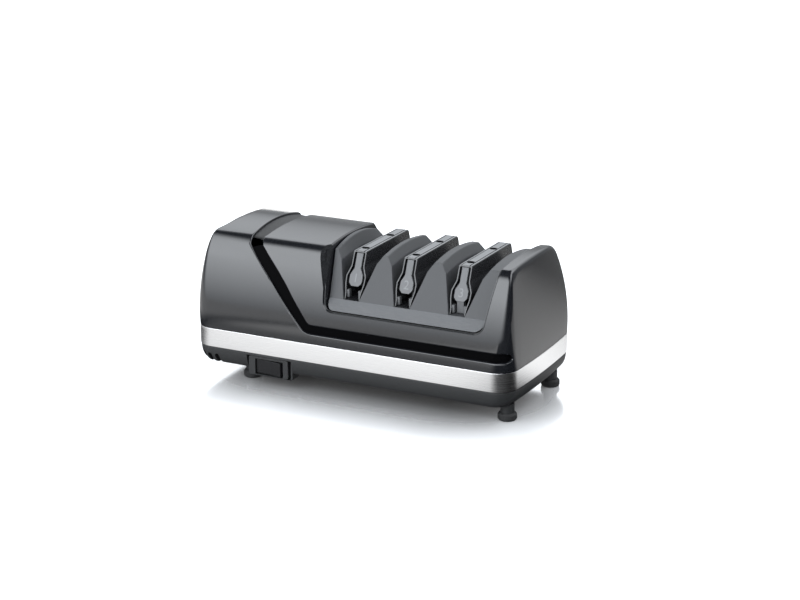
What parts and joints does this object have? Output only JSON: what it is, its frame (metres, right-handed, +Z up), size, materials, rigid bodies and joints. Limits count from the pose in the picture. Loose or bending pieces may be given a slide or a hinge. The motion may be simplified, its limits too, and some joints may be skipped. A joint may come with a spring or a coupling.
{
  "type": "electric knife sharpener",
  "caption": "Worktop knife sharpener: long glossy housing with sprung blade guides over turning abrasive discs, a brushed metal band, a rocker switch and rubber feet.",
  "frame": {"origin": "on the surface that the feet stand on, under the middle of the body's length and depth", "axes": "+X along the body towards the guide end, -Y towards the user, where the switch is, +Z up"},
  "size_m": [0.285, 0.1298, 0.1247],
  "materials": {
    "gloss_black": "polished black moulding",
    "brushed_band": "brushed along its length",
    "base_charcoal": "fine matte",
    "switch_black": "satin",
    "guide_grey": "satin grey",
    "spine_grey": "satin grey",
    "sleeve_black": "polished",
    "foot_rubber": "matte",
    "shaft_steel": "ground",
    "bracket_steel": "zinc plated",
    "lamination_steel": "stacked sheets",
    "magnet": "dull ferrite",
    "copper_winding": "varnished copper wire",
    "bearing_bronze": "sintered bronze",
    "abrasive_disc": "fine abrasive grit",
    "fan_nylon": "natural nylon",
    "lead_sheath": "soft sheath"
  },
  "bodies": {
    "frame": {"upper_housing": "gloss_black", "steel_band": "brushed_band", "base_tray": "base_charcoal", "switch_bezel": "base_charcoal", "switch_body": "switch_black", "cord_gland": "foot_rubber", "foot_front_left": "foot_rubber", "foot_stem_front_left": "base_charcoal", "foot_rear_left": "foot_rubber", "foot_stem_rear_left": "base_charcoal", "foot_front_right": "foot_rubber", "foot_stem_front_right": "base_charcoal", "foot_rear_right": "foot_rubber", "foot_stem_rear_right": "base_charcoal", "screw_front_left": "bracket_steel", "screw_rear_left": "bracket_steel", "screw_front_right": "bracket_steel", "screw_rear_right": "bracket_steel", "guide_block": "guide_grey", "spring_guide_1": "sleeve_black", "spring_guide_2": "sleeve_black", "spring_guide_3": "sleeve_black", "stage_spine_1": "spine_grey", "stage_spine_2": "spine_grey", "stage_spine_3": "spine_grey", "motor_stack": "lamination_steel", "motor_coil": "copper_winding", "motor_bracket_left": "bracket_steel", "bearing_left": "bearing_bronze", "motor_bracket_right": "bracket_steel", "bearing_right": "bearing_bronze", "motor_bolt_front": "bracket_steel", "motor_bolt_rear": "bracket_steel", "shaft_support": "base_charcoal", "bearing_outer": "bearing_bronze", "supply_lead": "lead_sheath", "motor_lead": "lead_sheath"},
    "rocker": {"switch_rocker": "switch_black"},
    "shaft": {"motor_shaft": "shaft_steel", "motor_rotor": "lamination_steel", "cooling_fan": "fan_nylon", "drive_pin_1_left": "shaft_steel", "drive_pin_1_right": "shaft_steel", "drive_pin_2_left": "shaft_steel", "drive_pin_2_right": "shaft_steel", "drive_pin_3_left": "shaft_steel", "drive_pin_3_right": "shaft_steel", "disc_spring_1": "shaft_steel", "disc_spring_2": "shaft_steel", "disc_spring_3": "shaft_steel"},
    "hatch": {"filings_hatch": "base_charcoal", "filings_magnet": "magnet"},
    "left_disc_1": {"disc_1_left": "abrasive_disc"},
    "right_disc_1": {"disc_1_right": "abrasive_disc"},
    "left_disc_2": {"disc_2_left": "abrasive_disc"},
    "right_disc_2": {"disc_2_right": "abrasive_disc"},
    "left_disc_3": {"disc_3_left": "abrasive_disc"},
    "right_disc_3": {"disc_3_right": "abrasive_disc"}
  },
  "joints": [
    {"name": "rocker_switch", "type": "hinge", "parent": "frame", "child": "rocker", "pos_m": [-0.071, -0.05745, 0.0163], "axis": [0, 0, 1], "range_deg": [0, 14]},
    {"name": "shaft_turn", "type": "hinge", "parent": "frame", "child": "shaft", "pos_m": [0, 0, 0.06], "axis": [1, 0, 0], "continuous": true},
    {"name": "hatch_release", "type": "slide", "parent": "frame", "child": "hatch", "axis": [0, 0, -1], "range_m": [0, 0.011]},
    {"name": "left_disc_1_yield", "type": "slide", "parent": "shaft", "child": "left_disc_1", "axis": [1, 0, 0], "range_m": [0, 0.0012], "stiffness_N_per_m": 1500, "springref_m": -0.002, "deforming": ["disc_spring_1"]},
    {"name": "right_disc_1_yield", "type": "slide", "parent": "shaft", "child": "right_disc_1", "axis": [-1, 0, 0], "range_m": [0, 0.0012], "stiffness_N_per_m": 1500, "springref_m": -0.002, "deforming": ["disc_spring_1"]},
    {"name": "left_disc_2_yield", "type": "slide", "parent": "shaft", "child": "left_disc_2", "axis": [1, 0, 0], "range_m": [0, 0.0012], "stiffness_N_per_m": 1500, "springref_m": -0.002, "deforming": ["disc_spring_2"]},
    {"name": "right_disc_2_yield", "type": "slide", "parent": "shaft", "child": "right_disc_2", "axis": [-1, 0, 0], "range_m": [0, 0.0012], "stiffness_N_per_m": 1500, "springref_m": -0.002, "deforming": ["disc_spring_2"]},
    {"name": "left_disc_3_yield", "type": "slide", "parent": "shaft", "child": "left_disc_3", "axis": [1, 0, 0], "range_m": [0, 0.0012], "stiffness_N_per_m": 1500, "springref_m": -0.002, "deforming": ["disc_spring_3"]},
    {"name": "right_disc_3_yield", "type": "slide", "parent": "shaft", "child": "right_disc_3", "axis": [-1, 0, 0], "range_m": [0, 0.0012], "stiffness_N_per_m": 1500, "springref_m": -0.002, "deforming": ["disc_spring_3"]}
  ]
}
